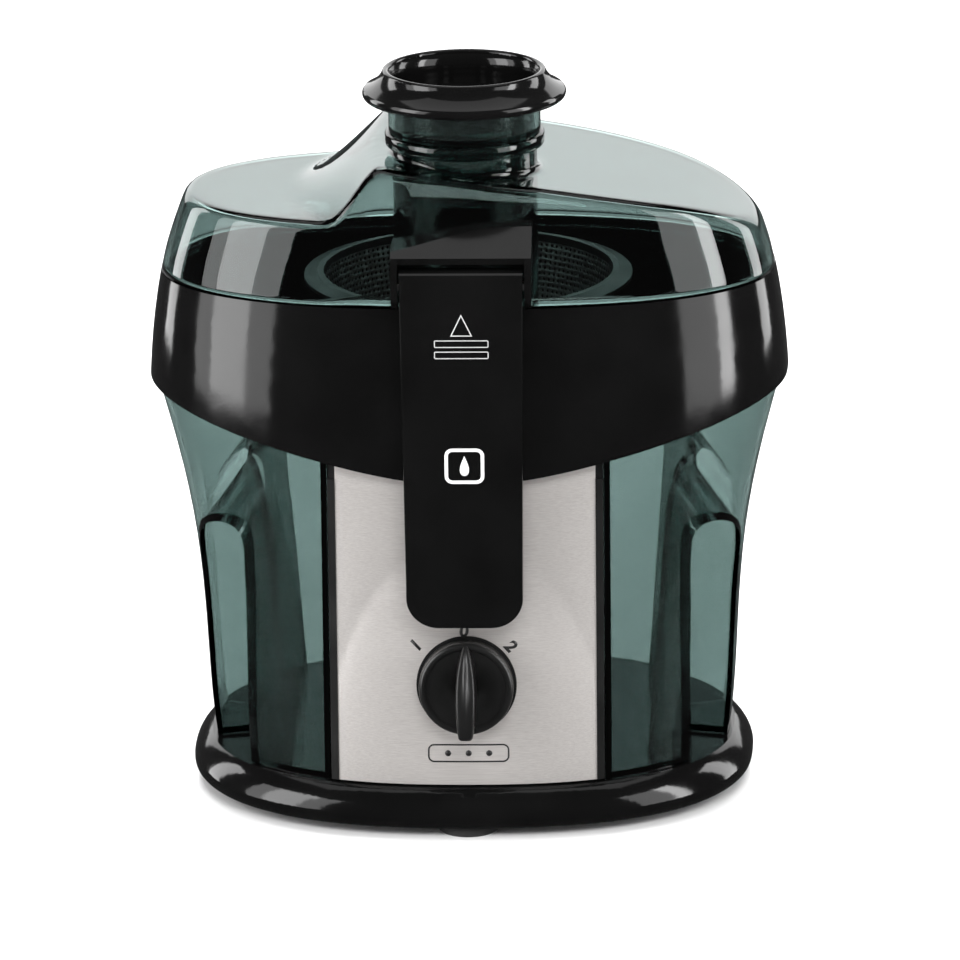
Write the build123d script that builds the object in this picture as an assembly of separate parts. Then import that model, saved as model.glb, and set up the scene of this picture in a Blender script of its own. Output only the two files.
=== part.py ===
from build123d import *
import math
import os

# Centrifugal juicer. Millimetres, +Z up, front towards -Y, origin on the
# resting surface under the middle of the base. Each node is written to parts/.

# ---------------------------------------------------------------- driving sizes
OVAL_POWER = 2.4            # exponent of the superellipse used for every plan
OVAL_POINTS = 32            # spline points round each plan curve
FAR = 400.0                 # larger than the whole object, for cutting tools

# Sections are (height, half width in X, half depth in Y).
BASE_SECTIONS = [(4.5, 122.5, 98.0), (9.0, 125.7, 101.0), (15.5, 123.6, 99.2), (21.5, 117.3, 92.8)]
BODY_SECTIONS = [(22.0, 115.5, 91.0), (60.0, 118.5, 88.4), (105.0, 121.5, 85.2),
                 (150.0, 129.0, 82.0), (192.0, 140.0, 80.0)]
BAND_SECTIONS = [(152.0, 142.0, 86.8), (190.0, 141.2, 84.8), (215.0, 138.8, 82.2), (235.0, 135.4, 79.0)]
LID_SECTIONS = [(235.4, 135.2, 78.8), (244.0, 133.2, 77.0), (254.0, 130.0, 74.4),
                (266.0, 125.5, 70.5), (280.0, 119.5, 65.8), (302.0, 107.0, 57.0)]

BASE_BOTTOM = 4.5
BASE_WALL = 3.0
BASE_OPENING = (92.0, 120.0)        # hole in the deck of the base, under the motor
COVER_THICKNESS = 2.0
COVER_INSET = 4.6           # the bottom cover stops this far inside the base's outline
COVER_SLOT_YS = range(-30, 31, 10)
COVER_SCREWS = [(-70.0, -52.0), (70.0, -52.0), (-70.0, 52.0), (70.0, 52.0)]
SCREW_SHANK = 1.9
SCREW_HEAD = 3.6
SCREW_LENGTH = 12.0
CORD_GLAND_RADIUS = 5.0
CORD_GLAND_BORE = 3.2
CORD_GLAND_Z = 12.0
CORD_GLAND_END = 112.07
FOOT_RADIUS = 13.0
FOOT_HOLLOW = 8.0
FOOT_PLACES = [("front", 0.0, -84.0), ("rear", 0.0, 84.0), ("left", -104.0, 0.0), ("right", 104.0, 0.0)]

HOUSING_HALF_WIDTH = 60.0
HOUSING_WALL = 2.5
HOUSING_TOP = 165.5
BOSS_OUTER = 28.0           # drive boss that reaches up to the bowl
BOSS_INNER = 24.0
VENT_ZS = range(40, 101, 10)
PANEL_THICKNESS = 1.0
PANEL_INSET = 1.1           # the housing lies this far under the outer skin
TRIM_WIDTH = 3.2

CONTAINER_INNER_X = 60.4
CONTAINER_WALL = 2.4
CONTAINER_BOTTOM = 22.0
RIM_GAP = 0.6               # between a container's rim and the bowl's skirt
GRIP_Y = 36.0               # middle of each finger pocket
GRIP_HALF = 20.0
GRIP_TURN = 16.0            # degrees that the pockets are turned to face along the skin's normal
GRIP_LEAN = 0.075           # the pockets' floors lean outwards with height, as the skin does
GRIP_LEAN_Z = 90.0
GRIP_INNER = (91.5, 154.0)  # distance from the middle and height of the arch at the pocket's floor
GRIP_OUTER = (131.5, 103.0)  # the same, beyond the skin: the ceiling rises inwards for a hooked grip

# Lower edge of the bowl's skirt, seen from the front, as (x, z).
SKIRT_EDGE = [(-160.0, 193.0), (-110.0, 178.6), (-60.0, 166.5), (0.0, 158.0),
              (60.0, 166.5), (110.0, 178.6), (160.0, 193.0)]
SEAM = 235.0
BOWL_WALL = 3.0
DECK_BOTTOM = 196.0
DECK_TOP = 199.0
WELL_RADIUS = 68.0
WELL_WALL = 2.5
WELL_FLOOR = 178.0
WELL_BOTTOM = 175.5
WELL_TOP = 227.5
CHUTE_NEAR_X = 78.0         # pulp chute through the deck on the -X side
CHUTE_FAR_X = 122.0
CHUTE_HALF_Y = 38.0
CHUTE_WALL = 2.0
HUB_RADIUS = 16.0           # raised ring in the well that the drive comes up through
HUB_BORE = 13.0
HUB_TOP = 187.0
SPOUT_INNER_X = 74.0        # juice channel under the deck on the +X side
SPOUT_OUTER_X = 87.5
SPOUT_HALF_Y = 7.5
SPOUT_WALL = 2.5
SPOUT_BOTTOM = 168.5

# Top of the lid, seen from the front, as (x, z).
LID_TOP = [(-150.0, 268.0), (-100.0, 270.0), (-76.0, 271.0), (-60.0, 275.0), (-48.0, 284.0),
           (-38.0, 292.5), (0.0, 288.3), (40.0, 283.0), (76.0, 276.5), (103.0, 269.5),
           (124.0, 260.0), (150.0, 243.0)]
LID_WALL = 2.5
LID_BOTTOM = 235.4
LIP_DEPTH = 4.0             # the lid's lip reaches this far down inside the bowl
LIP_TOP = 237.4
LIP_INSET = 3.5
LIP_WALL = 1.7

TUBE_Y = -25.0
TUBE_RADIUS = 31.6
TUBE_WALL = 2.5
TUBE_BOTTOM = 200.0
TUBE_TOP = 301.6
BEAD_RADIUS = 34.8
BEAD_HEIGHT = 4.6
PUSHER_RADIUS = 28.6
PUSHER_WALL = 2.2
PUSHER_BOTTOM = 204.0
PUSHER_TOP = 316.0
COLLAR_RADIUS = 33.2
CAP_RADIUS = 44.5
CAP_TOP = 329.2

SHAFT_RADIUS = 4.0
RUNNING_FIT = 0.06
COUPLING_RADIUS = 10.0
BASKET_FLOOR = 192.0
BASKET_FLOOR_THICKNESS = 3.0
BASKET_WALL = 0.8
RIM_RADIUS = 72.4
GRATER_RADIUS = 52.0
GRATER_RINGS = 6
GRATER_PITCH = 7.4
BASKET_BOTTOM_RADIUS = 58.6
BASKET_TOP_RADIUS = 64.5
BASKET_TOP = 229.0

LATCH_FRONT_Y = -100.0
LATCH_BACK_Y = -90.2
LATCH_TOP_Z = 257.0
LATCH_BOTTOM_Z = 96.7
LATCH_CREASE_Z = 119.0
LATCH_TOP_HALF = 26.5
LATCH_BOTTOM_HALF = 25.2
LATCH_SKIN = 3.0
HINGE_Y = -91.5
HINGE_Z = 249.0
HINGE_PIN_RADIUS = 2.0
BRACKET_HALF_WIDTH = 30.2
BRACKET_INNER_HALF = 27.2
HOOD_TOP = [(-60.0, 263.6), (-30.0, 264.6), (-14.0, 267.4), (4.0, 270.6), (30.0, 272.0), (60.0, 272.4)]
LATCH_EDGE = 1.1            # rounding of the latch's front edges

KNOB_Z = 67.6
KNOB_RADIUS = 20.7
PLUNGER_Z = 132.0
PLUNGER_RADIUS = 2.4
PLUNGER_FIT = 0.3

STATOR_LOW = 70.0
STATOR_HIGH = 106.0
STATOR_HALF_X = 38.0
STATOR_HALF_Y = 34.0
ROTOR_RADIUS = 20.0
AIR_GAP = 0.8
WINDING_RADIUS = 16.5
WINDING_LENGTH = 8.0
COIL_Y = 27.5
MOTOR_BOLTS = [(-30.0, -25.0), (30.0, -25.0), (-30.0, 25.0), (30.0, 25.0)]
BOLT_RADIUS = 2.0
BOLT_HOLE = 2.2
BEARING_RADIUS = 10.9
BEARING_SEAT = 11.0


# ---------------------------------------------------------------- shared shapes
def section_at(sections, z):
    """Half width and half depth of a set of sections, linear in height."""
    for low, high in zip(sections, sections[1:]):
        if z <= high[0]:
            t = (z - low[0]) / (high[0] - low[0])
            return low[1] + t * (high[1] - low[1]), low[2] + t * (high[2] - low[2])
    return sections[-1][1:]


def oval(half_x, half_y, z):
    """Closed superellipse wire at height z."""
    points = []
    for i in range(OVAL_POINTS):
        angle = 2 * math.pi * i / OVAL_POINTS
        c, s = math.cos(angle), math.sin(angle)
        x = half_x * math.copysign(abs(c) ** (2 / OVAL_POWER), c)
        y = half_y * math.copysign(abs(s) ** (2 / OVAL_POWER), s)
        points.append((x, y, z))
    return Wire([Edge.make_spline([Vector(*p) for p in points], periodic=True)])


def skin(sections, inset=0.0):
    """Solid lofted through oval sections, each moved inwards by inset."""
    return Solid.make_loft([oval(a - inset, b - inset, z) for z, a, b in sections])


def block(x0, x1, y0, y1, z0, z1):
    """Box between two corners."""
    return Pos((x0 + x1) / 2, (y0 + y1) / 2, (z0 + z1) / 2) * Box(x1 - x0, y1 - y0, z1 - z0)


def rod(radius, z0, z1, x=0.0, y=0.0):
    """Upright cylinder from z0 to z1."""
    return Pos(x, y, (z0 + z1) / 2) * Cylinder(radius, z1 - z0)


def tube(outer, inner, z0, z1, x=0.0, y=0.0):
    """Upright tube from z0 to z1."""
    return rod(outer, z0, z1, x, y) - rod(inner, z0 - 1, z1 + 1, x, y)


def rod_x(radius, x0, x1, y, z):
    """Cylinder along X."""
    return Pos((x0 + x1) / 2, y, z) * Rot(0, 90, 0) * Cylinder(radius, x1 - x0)


def rod_y(radius, y0, y1, x, z):
    """Cylinder along Y."""
    return Pos(x, (y0 + y1) / 2, z) * Rot(90, 0, 0) * Cylinder(radius, y1 - y0)


def turned(profile):
    """Solid of revolution about Z from (radius, z) points."""
    return revolve(Plane.XZ * make_face(Polyline(*profile, close=True)), Axis.Z)


def below_curve(points, shift=0.0):
    """Everything under a front-view curve, right through the object along Y."""
    curve = Spline(*[(x, z + shift) for x, z in points])
    low_left = (points[0][0], -10.0)
    low_right = (points[-1][0], -10.0)
    start = (points[0][0], points[0][1] + shift)
    end = (points[-1][0], points[-1][1] + shift)
    outline = [curve, Line(end, low_right), Line(low_right, low_left), Line(low_left, start)]
    return extrude(Plane.XZ * make_face(outline), FAR / 2, both=True)


def front_slab(inset_out, inset_in, half_width, z0, z1):
    """Thin plate that follows the front of the body between two insets."""
    plate = skin(BODY_SECTIONS, inset_out) - skin(BODY_SECTIONS, inset_in)
    return plate & block(-half_width, half_width, -FAR, 0, z0, z1)


def front_y(z):
    """Y of the body's front skin on the middle plane."""
    return -section_at(BODY_SECTIONS, z)[1]


# ---------------------------------------------------------------- base
def base_shell():
    outer = skin(BASE_SECTIONS)
    hollow = skin([(z - BASE_WALL, a, b) for z, a, b in BASE_SECTIONS], BASE_WALL)
    size_x, size_y = BASE_OPENING
    opening = block(-size_x / 2, size_x / 2, -size_y / 2, size_y / 2, 15, 25)
    return outer - hollow - opening - rod_y(CORD_GLAND_RADIUS, 80, 120, 0, CORD_GLAND_Z)


def cord_gland():
    wall = rod_y(CORD_GLAND_RADIUS - 0.1, 92, 101.5, 0, CORD_GLAND_Z)
    flange = rod_y(CORD_GLAND_RADIUS + 2.0, 101.2, 103.2, 0, CORD_GLAND_Z)
    sleeve = rod_y(CORD_GLAND_BORE + 1.4, 103.0, CORD_GLAND_END, 0, CORD_GLAND_Z)
    return wall + flange + sleeve - rod_y(CORD_GLAND_BORE, 90, CORD_GLAND_END + 1, 0, CORD_GLAND_Z)


def bottom_cover():
    half_x, half_y = section_at(BASE_SECTIONS, BASE_BOTTOM + 1.0)
    outline = oval(half_x - COVER_INSET, half_y - COVER_INSET, BASE_BOTTOM)
    plate = Solid.extrude(Face(outline), Vector(0, 0, COVER_THICKNESS))
    slots = [block(-26, 26, y - 1.5, y + 1.5, 0, 10) for y in COVER_SLOT_YS]
    holes = [rod(SCREW_SHANK + 0.2, 0, 10, x, y) for x, y in COVER_SCREWS]
    return plate - slots - holes


def screw(x, y, z_head, length):
    """Pan head screw pointing up, its head under z_head."""
    head = rod(SCREW_HEAD, z_head - 2.0, z_head, x, y)
    shank = rod(SCREW_SHANK, z_head, z_head + length, x, y)
    slot = block(x - 2.6, x + 2.6, y - 0.4, y + 0.4, z_head - 2.1, z_head - 1.2)
    return head + shank - slot


def base_screws():
    return [screw(x, y, BASE_BOTTOM, SCREW_LENGTH) for x, y in COVER_SCREWS]


def foot(x, y):
    """Soft suction foot with a hollow underside."""
    cone = Cone(FOOT_RADIUS, FOOT_RADIUS - 2.0, BASE_BOTTOM)
    return Pos(x, y, BASE_BOTTOM / 2) * cone - rod(FOOT_HOLLOW, -1, 1.5, x, y)


# ---------------------------------------------------------------- motor housing
def motor_housing():
    outer = skin(BODY_SECTIONS, PANEL_INSET)
    inner = skin(BODY_SECTIONS, PANEL_INSET + HOUSING_WALL)
    half = HOUSING_HALF_WIDTH
    wall = HOUSING_WALL
    shell = outer & block(-half, half, -FAR, FAR, 22, HOUSING_TOP)
    shell -= inner & block(-half + wall, half - wall, -FAR, FAR, 20, HOUSING_TOP - wall)
    shell += tube(BOSS_OUTER, BOSS_INNER, HOUSING_TOP - 0.5, WELL_BOTTOM - 0.1)
    shell -= rod(9.0, HOUSING_TOP - 10, HOUSING_TOP + 5)
    shell -= rod_y(4.0, -FAR, -60, 0, KNOB_Z)
    shell -= rod_y(PLUNGER_RADIUS + PLUNGER_FIT, -FAR, -60, 0, PLUNGER_Z)
    vents = [block(-30, 30, 60, FAR, z, z + 3) for z in VENT_ZS]
    return shell - vents


def front_panel():
    panel = front_slab(0.0, PANEL_THICKNESS, HOUSING_HALF_WIDTH - TRIM_WIDTH - 0.1, 22.3, 164.0)
    panel -= rod_y(4.4, -FAR, -60, 0, KNOB_Z)
    return panel - rod_y(PLUNGER_RADIUS + PLUNGER_FIT, -FAR, -60, 0, PLUNGER_Z)


def panel_trim(side):
    strip = front_slab(-0.5, PANEL_THICKNESS, HOUSING_HALF_WIDTH, 22.3, 158.0)
    inner = HOUSING_HALF_WIDTH - TRIM_WIDTH
    if side > 0:
        return strip & block(inner, HOUSING_HALF_WIDTH, -FAR, 0, 0, FAR)
    return strip & block(-HOUSING_HALF_WIDTH, -inner, -FAR, 0, 0, FAR)


def latch_catch():
    """Striker on the panel, behind the latch's nose."""
    back = front_y(112.0) + 1.0
    plate = block(-11, 11, -87.2, back, 106, 118)
    return plate - skin(BODY_SECTIONS, -0.05)


# ---------------------------------------------------------------- containers
def arch_wire(side, reach, half, top):
    """Arch standing across one pocket's own direction, at a distance from the middle."""
    turn = math.radians(GRIP_TURN)
    out = Vector(math.cos(turn), side * math.sin(turn), 0)
    across = Vector(-side * math.sin(turn), math.cos(turn), 0)

    def point(along, z):
        distance = reach - GRIP_INNER[0] + GRIP_LEAN * (z - GRIP_LEAN_Z)
        return Vector(GRIP_INNER[0], side * GRIP_Y, z) + out * distance + across * along

    spring = top - half
    left, right = point(-half, spring), point(half, spring)
    low_left, low_right = point(-half, CONTAINER_BOTTOM - 8), point(half, CONTAINER_BOTTOM - 8)
    return Wire([Edge.make_line(left, low_left), Edge.make_line(low_left, low_right),
                 Edge.make_line(low_right, right), Edge.make_three_point_arc(right, point(0, top), left)])


def grip_pockets(grow):
    """Two arched finger pockets on the outer side, each wall moved out by grow."""
    (inner, inner_top), (outer, outer_top) = GRIP_INNER, GRIP_OUTER
    half = GRIP_HALF + grow
    pockets = []
    for side in (-1, 1):
        floor = arch_wire(side, inner - grow, half, inner_top + grow)
        mouth = arch_wire(side, outer, half, outer_top + grow)
        pockets.append(Solid.make_loft([floor, mouth], ruled=True))
    return pockets


def container():
    """Right-hand container, open at the top."""
    wall = CONTAINER_WALL
    outer = skin(BODY_SECTIONS) & block(CONTAINER_INNER_X, 200, -FAR, FAR, CONTAINER_BOTTOM, 200)
    cavity = skin(BODY_SECTIONS, wall)
    cavity &= block(CONTAINER_INNER_X + wall, 200, -FAR, FAR, CONTAINER_BOTTOM + wall, 200)
    outer &= below_curve(SKIRT_EDGE, -RIM_GAP)
    shell = (outer - grip_pockets(0.0)) - (cavity - grip_pockets(wall))
    return shell


# ---------------------------------------------------------------- bowl
def juice_bowl():
    skirt = skin(BAND_SECTIONS) - skin(BAND_SECTIONS, BOWL_WALL) - below_curve(SKIRT_EDGE)
    slab = block(-FAR, FAR, -FAR, FAR, DECK_BOTTOM, DECK_TOP)
    deck = skin(BAND_SECTIONS, BOWL_WALL - 0.5) & slab
    well = rod(WELL_RADIUS + WELL_WALL, WELL_BOTTOM, WELL_TOP)
    side = SPOUT_HALF_Y + SPOUT_WALL
    channel = block(60, SPOUT_OUTER_X + SPOUT_WALL, -side, side, SPOUT_BOTTOM, DECK_BOTTOM + 1)
    bowl = skirt + deck + well + channel
    bowl -= rod(WELL_RADIUS, WELL_FLOOR, FAR)
    bowl += rod(HUB_RADIUS, WELL_BOTTOM, HUB_TOP)
    bowl -= rod(HUB_BORE, WELL_BOTTOM - 5, HUB_TOP + 5)
    bowl -= block(62.5, SPOUT_OUTER_X, -SPOUT_HALF_Y, SPOUT_HALF_Y, WELL_FLOOR, 193)
    bowl -= block(SPOUT_INNER_X, SPOUT_OUTER_X, -SPOUT_HALF_Y, SPOUT_HALF_Y, 160, WELL_FLOOR + 1)
    return add_pulp_chute(bowl)


def add_pulp_chute(bowl):
    """Square chute through the deck, with a wall that hangs below it."""
    near, far, half, wall = CHUTE_NEAR_X, CHUTE_FAR_X, CHUTE_HALF_Y, CHUTE_WALL
    passage = block(-far, -near, -half, half, 180, 210)
    chute = block(-far - wall, -near + wall, -half - wall, half + wall, 188, DECK_TOP)
    return bowl + (chute - rod(WELL_RADIUS + 1, 170, 230)) - passage


def bowl_seal():
    return tube(12.9, 12.3, 176.0, 178.5)


# ---------------------------------------------------------------- basket and drive
def lobed_post(radius, z0, z1):
    """Six-lobed drive dog."""
    post = rod(radius * 0.8, z0, z1)
    for i in range(6):
        angle = math.radians(60 * i)
        post += rod(radius * 0.24, z0, z1, radius * 0.76 * math.cos(angle), radius * 0.76 * math.sin(angle))
    return post


def drive_coupling():
    return lobed_post(COUPLING_RADIUS, 179.0, 190.0) - rod(SHAFT_RADIUS, 170, 188.5)


def basket_base():
    floor_top = BASKET_FLOOR + BASKET_FLOOR_THICKNESS
    disc = rod(BASKET_BOTTOM_RADIUS + 1.6, BASKET_FLOOR, floor_top)
    hub = rod(12.0, 180.0, BASKET_FLOOR + 1.0)
    return disc + hub - lobed_post(COUPLING_RADIUS + 0.35, 170.0, 190.6)


def grater_disc():
    bottom = BASKET_FLOOR + BASKET_FLOOR_THICKNESS
    teeth = []
    for ring in range(1, GRATER_RINGS + 1):
        count = 6 * ring
        radius = GRATER_PITCH * ring
        for i in range(count):
            turn = 360 * (i + 0.5 * (ring % 2)) / count
            teeth.append(Rot(0, 0, turn) * Pos(radius, 0, bottom + 1.4) * Box(2.4, 0.8, 1.2))
    return rod(GRATER_RADIUS, bottom, bottom + 1.0) + teeth


def basket_mesh():
    foot_z = BASKET_FLOOR + BASKET_FLOOR_THICKNESS
    low, high = BASKET_BOTTOM_RADIUS, BASKET_TOP_RADIUS
    return turned([(low, foot_z), (low + BASKET_WALL, foot_z),
                   (high + BASKET_WALL, BASKET_TOP), (high, BASKET_TOP)])


def basket_rim():
    high = BASKET_TOP_RADIUS
    return turned([(high - 0.6, BASKET_TOP), (RIM_RADIUS, BASKET_TOP), (RIM_RADIUS, BASKET_TOP + 1.6),
                   (high + 2.0, BASKET_TOP + 3.4), (high - 0.6, BASKET_TOP + 3.4)])


# ---------------------------------------------------------------- lid
def lid_shell():
    """Domed cover with a lip that drops inside the bowl."""
    half_x, half_y = section_at(BAND_SECTIONS, SEAM)
    lip_bottom = LID_BOTTOM - LIP_DEPTH
    lip_outline = oval(half_x - LIP_INSET, half_y - LIP_INSET, lip_bottom)
    hole_outline = oval(half_x - LIP_INSET - LIP_WALL, half_y - LIP_INSET - LIP_WALL, lip_bottom - 1)
    lip = Solid.extrude(Face(lip_outline), Vector(0, 0, LIP_DEPTH + 1))
    hole = Solid.extrude(Face(hole_outline), Vector(0, 0, LIP_TOP - lip_bottom + 2))
    cavity = skin(LID_SECTIONS, LID_WALL) & below_curve(LID_TOP, -LID_WALL)
    cavity &= block(-FAR, FAR, -FAR, FAR, LIP_TOP, FAR)
    cover = skin(LID_SECTIONS) & below_curve(LID_TOP)
    return cover - cavity + lip - hole


def lid():
    shell = lid_shell()
    shell += rod(TUBE_RADIUS, TUBE_BOTTOM, TUBE_TOP, 0, TUBE_Y)
    shell += rod(BEAD_RADIUS, TUBE_TOP - BEAD_HEIGHT, TUBE_TOP, 0, TUBE_Y)
    return shell - rod(TUBE_RADIUS - TUBE_WALL, TUBE_BOTTOM - 5, TUBE_TOP + 5, 0, TUBE_Y)


def latch_bracket():
    """Hinge ears and hood that stand on the lid's front wall, higher on the right as the lid is."""
    half = BRACKET_HALF_WIDTH
    hood_profile = Polyline((-95.5, 259.6), (-95.5, 262.4), (-60.0, 282.0), (-60.0, 262.0), close=True)
    ear_profile = Polyline((-98.0, 244.0), (-98.0, 260.0), (-95.5, 262.4), (-60.0, 282.0),
                           (-60.0, 240.0), (-94.0, 240.0), close=True)
    hood = extrude(Plane.YZ * make_face(hood_profile), half, both=True)
    ears = extrude(Plane.YZ * make_face(ear_profile), half, both=True)
    ears -= block(-BRACKET_INNER_HALF, BRACKET_INNER_HALF, -FAR, FAR, 0, FAR)
    bracket = (hood + ears) & below_curve(HOOD_TOP)
    bracket -= rod_x(HINGE_PIN_RADIUS, -40, 40, HINGE_Y, HINGE_Z)
    return bracket - skin(LID_SECTIONS, -0.08) - skin(BAND_SECTIONS, -0.5)


def hinge_pin():
    return rod_x(HINGE_PIN_RADIUS, -30.0, 30.0, HINGE_Y, HINGE_Z)


# ---------------------------------------------------------------- latch
def latch_outline(inset):
    """Front view of the latch arm, narrower and rounded at its lower end."""
    top = LATCH_TOP_Z - inset
    low = LATCH_BOTTOM_Z + inset
    wide, narrow = LATCH_TOP_HALF - inset, LATCH_BOTTOM_HALF - inset
    face = make_face(Polyline((-wide, top), (wide, top), (narrow, low), (-narrow, low), close=True))
    corners = face.vertices().sort_by(Axis.Y)[:2]
    return fillet(corners, 14.0 - inset)


def latch_plate(inset, back, depth):
    """Latch outline, extruded forwards from the plane y = back."""
    return extrude(Plane.XZ.offset(-back) * latch_outline(inset), depth)


def latch_bevel():
    """Wedge that cuts the latch back below its crease."""
    front, low = LATCH_FRONT_Y, LATCH_BOTTOM_Z - 1
    profile = Polyline((front - 1, LATCH_CREASE_Z), (front, LATCH_CREASE_Z),
                       (front + 2.6, low), (front - 1, low), close=True)
    return extrude(Plane.YZ * make_face(profile), 40, both=True)


def latch_arm():
    thickness = LATCH_BACK_Y - LATCH_FRONT_Y
    body = latch_plate(0.0, LATCH_BACK_Y, thickness)
    body = fillet(body.faces().sort_by(Axis.Y)[0].edges(), LATCH_EDGE)
    hollow = latch_plate(LATCH_SKIN, LATCH_BACK_Y + 1, thickness + 1 - LATCH_SKIN)
    radius = 5.5
    corner_y, corner_z = LATCH_FRONT_Y + radius, LATCH_TOP_Z - radius
    corner = block(-40, 40, LATCH_FRONT_Y - 1, corner_y, corner_z, LATCH_TOP_Z + 1)
    corner -= rod_x(radius, -40, 40, corner_y, corner_z)
    arm = body - hollow - latch_bevel() - corner
    inside = LATCH_FRONT_Y + LATCH_SKIN - 0.5
    arm += rod_x(4.6, -LATCH_TOP_HALF + 1, LATCH_TOP_HALF - 1, HINGE_Y, HINGE_Z)
    arm += block(-9, -4, inside, -87.6, 109, 112)
    arm += block(4, 9, inside, -87.6, 109, 112)
    arm += block(-6, 6, inside, -88.9, PLUNGER_Z - 5, PLUNGER_Z + 5)
    return arm - rod_x(HINGE_PIN_RADIUS + RUNNING_FIT, -40, 40, HINGE_Y, HINGE_Z)


# ---------------------------------------------------------------- pusher
def pusher_body():
    outer, inner = PUSHER_RADIUS, PUSHER_RADIUS - PUSHER_WALL
    low, shoulder, top = PUSHER_BOTTOM, TUBE_TOP + 0.2, PUSHER_TOP
    collar_in = COLLAR_RADIUS - 2.4
    floor = low + 2.4
    return Pos(0, TUBE_Y, 0) * turned([
        (0, low), (outer - 1, low), (outer, low + 1), (outer, shoulder), (COLLAR_RADIUS, shoulder),
        (COLLAR_RADIUS, top), (collar_in, top), (collar_in, shoulder + 2.4),
        (inner, shoulder + 2.4), (inner, floor), (0, floor)])


def pusher_cap():
    """Dished cap: a recessed disc, a rounded rim and an overhanging flange."""
    outline = [Polyline((CAP_RADIUS - 3.5, 316.1), (33.4, 316.1), (30.4, 316.1), (30.4, 307.0),
                        (0, 307.0), (0, 309.4), (17.0, 309.4), (17.0, 310.6), (19.0, 310.6), (19.0, 309.4),
                        (25.0, 309.4)),
               Spline((25.0, 309.4), (28.6, 311.5), (30.4, 318.0), (32.8, 327.6)),
               ThreePointArc((32.8, 327.6), (34.0, CAP_TOP), (35.6, 328.2)),
               Spline((35.6, 328.2), (37.4, 325.0), (40.2, 322.4), (CAP_RADIUS - 0.8, 320.4)),
               ThreePointArc((CAP_RADIUS - 0.8, 320.4), (CAP_RADIUS - 0.1, 318.2), (CAP_RADIUS - 3.5, 316.1))]
    return Pos(0, TUBE_Y, 0) * revolve(Plane.XZ * make_face(outline), Axis.Z)


# ---------------------------------------------------------------- knob and controls
def on_panel(shape):
    """Move a shape built along +Z from the origin onto the panel's normal at the knob."""
    lean = math.degrees(math.atan2(BODY_SECTIONS[1][2] - BODY_SECTIONS[2][2],
                                   BODY_SECTIONS[2][0] - BODY_SECTIONS[1][0]))
    return Pos(0, front_y(KNOB_Z), KNOB_Z) * Rot(90 - lean, 0, 0) * shape


def speed_knob():
    skirt = rod(KNOB_RADIUS, 0.8, 10.0)
    skirt = fillet(skirt.edges().sort_by(Axis.Z)[-1], 3.5)
    grip = Pos(0, 0, 15.5) * Box(8.4, 2 * KNOB_RADIUS - 1.2, 15.0)
    grip = fillet(grip.edges().filter_by(Axis.Z) + grip.faces().sort_by(Axis.Z)[-1].edges(), 2.2)
    return on_panel(skirt + grip - rod(3.0, -5, 9))


def knob_bezel():
    return on_panel(tube(KNOB_RADIUS + 1.2, 17.0, -0.6, 0.5)) - skin(BODY_SECTIONS, -0.05)


def knob_shaft():
    return on_panel(rod(3.0, -24, 9))


def rotary_switch():
    return on_panel(block(-15, 15, -13, 13, -24, -9) - rod(3.0 + RUNNING_FIT, -30, 0))


def interlock_plunger():
    tip = rod_y(PLUNGER_RADIUS, -88.6, -66, 0, PLUNGER_Z)
    return tip + rod_y(PLUNGER_RADIUS + 2, -76, -74, 0, PLUNGER_Z)


def safety_switch():
    case = block(-10, 10, -64, -54, PLUNGER_Z - 8, PLUNGER_Z + 8)
    return case + block(-2, 2, -65.5, -63, PLUNGER_Z - 2, PLUNGER_Z + 2)


# ---------------------------------------------------------------- motor
def motor_shaft():
    return rod(SHAFT_RADIUS, 36.0, 188.4)


def armature_core():
    slots = [Rot(0, 0, 30 * i) * rod(1.8, 60, 120, 17.4) for i in range(12)]
    return tube(ROTOR_RADIUS, SHAFT_RADIUS, STATOR_LOW, STATOR_HIGH) - slots


def armature_windings():
    low = tube(WINDING_RADIUS, SHAFT_RADIUS, STATOR_LOW - WINDING_LENGTH, STATOR_LOW - 0.1)
    high = tube(WINDING_RADIUS, SHAFT_RADIUS, STATOR_HIGH + 0.1, STATOR_HIGH + WINDING_LENGTH)
    return [low, high]


def commutator():
    slots = [Rot(0, 0, 15 * i) * block(9.2, 11, -0.25, 0.25, 40, 70) for i in range(24)]
    return tube(10.0, SHAFT_RADIUS, 48.0, 60.0) - slots


def cooling_fan():
    disc = tube(9.0, SHAFT_RADIUS, 118.0, 128.0) + tube(32.0, 8.0, 118.0, 119.6)
    blades = [Rot(0, 0, i * 360 / 11) * block(8.5, 31.0, -0.8, 0.8, 119.0, 128.0) for i in range(11)]
    return disc + blades


def stator_core():
    frame = block(-STATOR_HALF_X, STATOR_HALF_X, -STATOR_HALF_Y, STATOR_HALF_Y, STATOR_LOW, STATOR_HIGH)
    frame = fillet(frame.edges().filter_by(Axis.Z), 9)
    bolt_holes = [rod(BOLT_HOLE, 60, 120, x, y) for x, y in MOTOR_BOLTS]
    coil_slots = [block(-27.2, 27.2, y - 4.2, y + 4.2, 60, 120) for y in (-COIL_Y, COIL_Y)]
    return frame - rod(ROTOR_RADIUS + AIR_GAP, 60, 120) - bolt_holes - coil_slots


def field_coil(side):
    y = side * COIL_Y
    return block(-27, 27, y - 4, y + 4, STATOR_LOW - 9, STATOR_HIGH + 9)


def motor_bracket(z0, z1, bearing_z):
    plate = block(-36, 36, -31, 31, z0, z1) + rod(14.0, bearing_z - 1, bearing_z + 8)
    plate -= rod(BEARING_SEAT, bearing_z, bearing_z + 7)
    plate -= rod(7.0, bearing_z - 10, bearing_z + 20)
    return plate - [rod(BOLT_HOLE, z0 - 5, z1 + 5, x, y) for x, y in MOTOR_BOLTS]


def bearing(z0):
    return tube(BEARING_RADIUS, SHAFT_RADIUS + RUNNING_FIT, z0 + 0.1, z0 + 6.9)


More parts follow.
